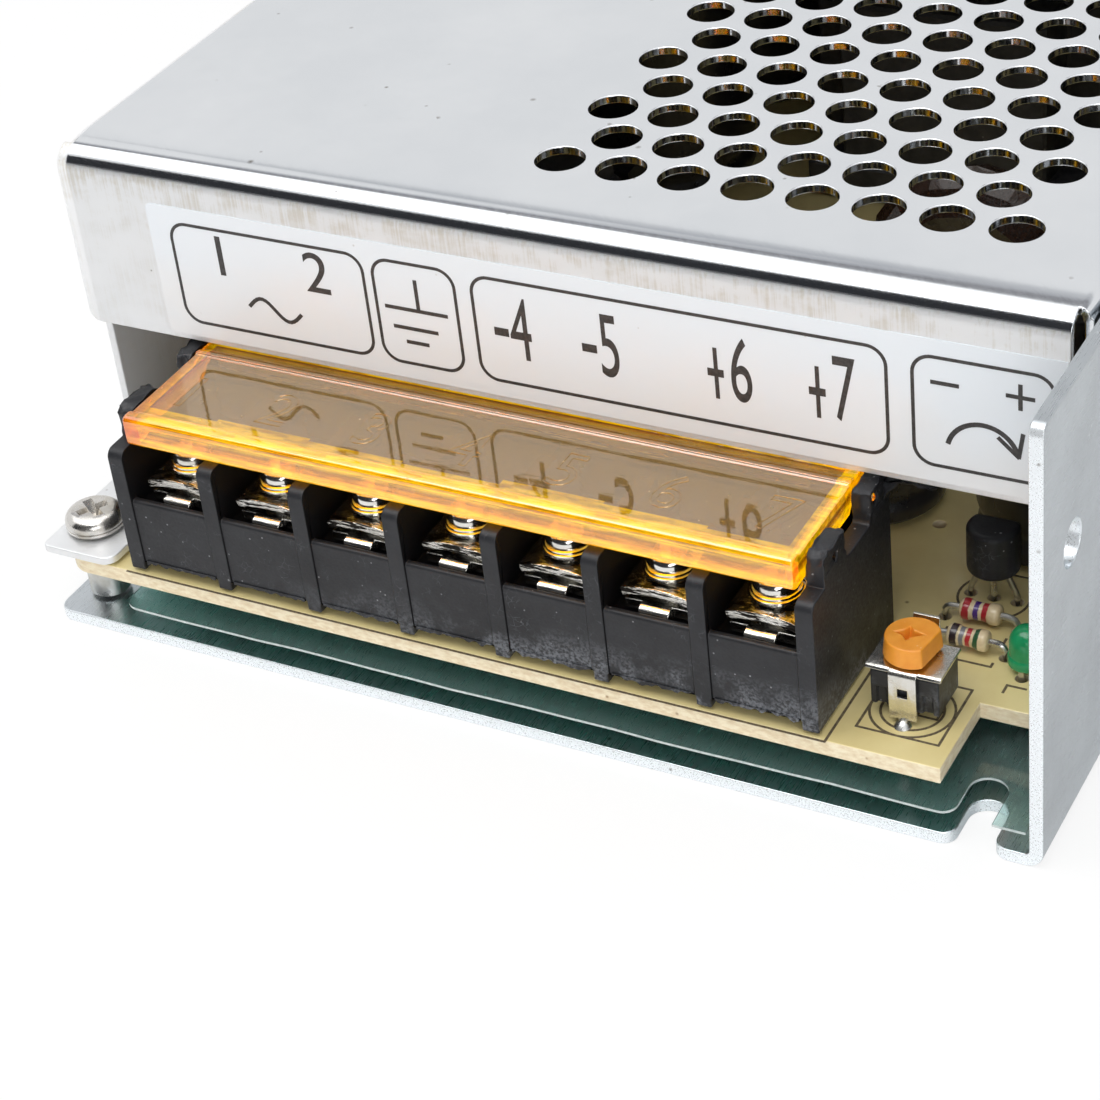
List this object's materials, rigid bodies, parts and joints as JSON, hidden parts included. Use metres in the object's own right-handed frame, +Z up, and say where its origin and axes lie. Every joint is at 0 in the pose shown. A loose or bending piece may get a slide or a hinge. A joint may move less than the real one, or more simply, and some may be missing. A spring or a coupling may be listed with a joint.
{
  "type": "switching power supply",
  "caption": "Enclosed switching power supply: folded chassis and perforated cover, screw terminal block with hinged clear lid, trimmer at the front.",
  "frame": {"origin": "centre of the underside, on the surface that the chassis stands on", "axes": "+X to the side wall of the chassis, +Y from the terminals to the rear, +Z up"},
  "size_m": [0.098, 0.159, 0.042],
  "materials": {
    "aluminium": "satin, with bright cut edges",
    "plated_steel": "semi-bright plating",
    "tinned_metal": "bright tin and nickel plating",
    "black_moulding": "satin moulding",
    "orange_clear_plastic": "clear tinted plastic, glossy",
    "board_laminate": "phenolic paper laminate",
    "clear_film": "clear polyester film",
    "orange_plastic": "satin",
    "resistor_coat": "lacquer with colour bands",
    "green_lens": "clear tinted resin",
    "black_sleeve": "shrunk sleeve",
    "ferrite": "sintered ferrite",
    "yellow_tape": "film and tape",
    "copper_winding": "enamelled wire",
    "fuse_glass": "clear glass with metal caps"
  },
  "bodies": {
    "case": {"base_chassis": "aluminium", "board_screw_1": "tinned_metal", "board_screw_2": "tinned_metal", "board_screw_3": "tinned_metal", "board_screw_4": "tinned_metal", "board_standoff_1": "tinned_metal", "board_standoff_2": "tinned_metal", "board_standoff_3": "tinned_metal", "board_standoff_4": "tinned_metal", "bridge_rectifier": "black_moulding", "bulk_capacitor_1": "black_sleeve", "bulk_capacitor_2": "black_sleeve", "circuit_board": "board_laminate", "clamp_bar": "plated_steel", "clamp_screw": "tinned_metal", "cover_screw_1": "tinned_metal", "cover_screw_2": "tinned_metal", "film_capacitor": "yellow_tape", "front_capacitor": "black_sleeve", "fuse": "fuse_glass", "indicator_led": "green_lens", "insulating_film": "clear_film", "line_choke": "ferrite", "output_capacitor_1": "black_sleeve", "output_capacitor_2": "black_sleeve", "output_choke": "copper_winding", "output_diode": "black_moulding", "power_transistor": "black_moulding", "resistor_a": "resistor_coat", "resistor_b": "resistor_coat", "small_transistor": "black_moulding", "terminal_contact_1": "tinned_metal", "terminal_contact_2": "tinned_metal", "terminal_contact_3": "tinned_metal", "terminal_contact_4": "tinned_metal", "terminal_contact_5": "tinned_metal", "terminal_contact_6": "tinned_metal", "terminal_contact_7": "tinned_metal", "terminal_housing": "black_moulding", "top_cover": "plated_steel", "transformer": "ferrite", "trimmer_body": "black_moulding", "trimmer_frame": "tinned_metal"},
    "lid": {"terminal_lid": "orange_clear_plastic"},
    "trimmer_knob": {"trimmer_knob": "orange_plastic"},
    "clamp_1": {"terminal_clamp_1": "tinned_metal"},
    "screw_1": {"terminal_screw_1": "tinned_metal"},
    "clamp_2": {"terminal_clamp_2": "tinned_metal"},
    "screw_2": {"terminal_screw_2": "tinned_metal"},
    "clamp_3": {"terminal_clamp_3": "tinned_metal"},
    "screw_3": {"terminal_screw_3": "tinned_metal"},
    "clamp_4": {"terminal_clamp_4": "tinned_metal"},
    "screw_4": {"terminal_screw_4": "tinned_metal"},
    "clamp_5": {"terminal_clamp_5": "tinned_metal"},
    "screw_5": {"terminal_screw_5": "tinned_metal"},
    "clamp_6": {"terminal_clamp_6": "tinned_metal"},
    "screw_6": {"terminal_screw_6": "tinned_metal"},
    "clamp_7": {"terminal_clamp_7": "tinned_metal"},
    "screw_7": {"terminal_screw_7": "tinned_metal"}
  },
  "joints": [
    {"name": "lid_hinge", "type": "hinge", "parent": "case", "child": "lid", "pos_m": [-0.00425, -0.0657, 0.0225], "axis": [-1, 0, 0], "range_deg": [0, 78]},
    {"name": "trimmer_turn", "type": "hinge", "parent": "case", "child": "trimmer_knob", "pos_m": [0.0355, -0.0722, 0.0134], "axis": [0, 0, 1], "range_deg": [-115, 115]},
    {"name": "clamp_1_lift", "type": "slide", "parent": "case", "child": "clamp_1", "axis": [0, 0, 1], "range_m": [0, 0.0025]},
    {"name": "screw_1_turn", "type": "hinge", "parent": "clamp_1", "child": "screw_1", "pos_m": [-0.03245, -0.0739, 0.0176], "axis": [0, 0, 1], "range_deg": [0, 1500]},
    {"name": "clamp_2_lift", "type": "slide", "parent": "case", "child": "clamp_2", "axis": [0, 0, 1], "range_m": [0, 0.0025]},
    {"name": "screw_2_turn", "type": "hinge", "parent": "clamp_2", "child": "screw_2", "pos_m": [-0.02295, -0.0739, 0.0176], "axis": [0, 0, 1], "range_deg": [0, 1500]},
    {"name": "clamp_3_lift", "type": "slide", "parent": "case", "child": "clamp_3", "axis": [0, 0, 1], "range_m": [0, 0.0025]},
    {"name": "screw_3_turn", "type": "hinge", "parent": "clamp_3", "child": "screw_3", "pos_m": [-0.01345, -0.0739, 0.0176], "axis": [0, 0, 1], "range_deg": [0, 1500]},
    {"name": "clamp_4_lift", "type": "slide", "parent": "case", "child": "clamp_4", "axis": [0, 0, 1], "range_m": [0, 0.0025]},
    {"name": "screw_4_turn", "type": "hinge", "parent": "clamp_4", "child": "screw_4", "pos_m": [-0.00395, -0.0739, 0.0176], "axis": [0, 0, 1], "range_deg": [0, 1500]},
    {"name": "clamp_5_lift", "type": "slide", "parent": "case", "child": "clamp_5", "axis": [0, 0, 1], "range_m": [0, 0.0025]},
    {"name": "screw_5_turn", "type": "hinge", "parent": "clamp_5", "child": "screw_5", "pos_m": [0.00555, -0.0739, 0.0176], "axis": [0, 0, 1], "range_deg": [0, 1500]},
    {"name": "clamp_6_lift", "type": "slide", "parent": "case", "child": "clamp_6", "axis": [0, 0, 1], "range_m": [0, 0.0025]},
    {"name": "screw_6_turn", "type": "hinge", "parent": "clamp_6", "child": "screw_6", "pos_m": [0.01505, -0.0739, 0.0176], "axis": [0, 0, 1], "range_deg": [0, 1500]},
    {"name": "clamp_7_lift", "type": "slide", "parent": "case", "child": "clamp_7", "axis": [0, 0, 1], "range_m": [0, 0.0025]},
    {"name": "screw_7_turn", "type": "hinge", "parent": "clamp_7", "child": "screw_7", "pos_m": [0.02455, -0.0739, 0.0176], "axis": [0, 0, 1], "range_deg": [0, 1500]}
  ],
  "couplings": [
    {"joint": "screw_1_turn", "follows": "clamp_1_lift", "rad_per_m": 10471},
    {"joint": "screw_2_turn", "follows": "clamp_2_lift", "rad_per_m": 10471},
    {"joint": "screw_3_turn", "follows": "clamp_3_lift", "rad_per_m": 10471},
    {"joint": "screw_4_turn", "follows": "clamp_4_lift", "rad_per_m": 10471},
    {"joint": "screw_5_turn", "follows": "clamp_5_lift", "rad_per_m": 10471},
    {"joint": "screw_6_turn", "follows": "clamp_6_lift", "rad_per_m": 10471},
    {"joint": "screw_7_turn", "follows": "clamp_7_lift", "rad_per_m": 10471}
  ]
}
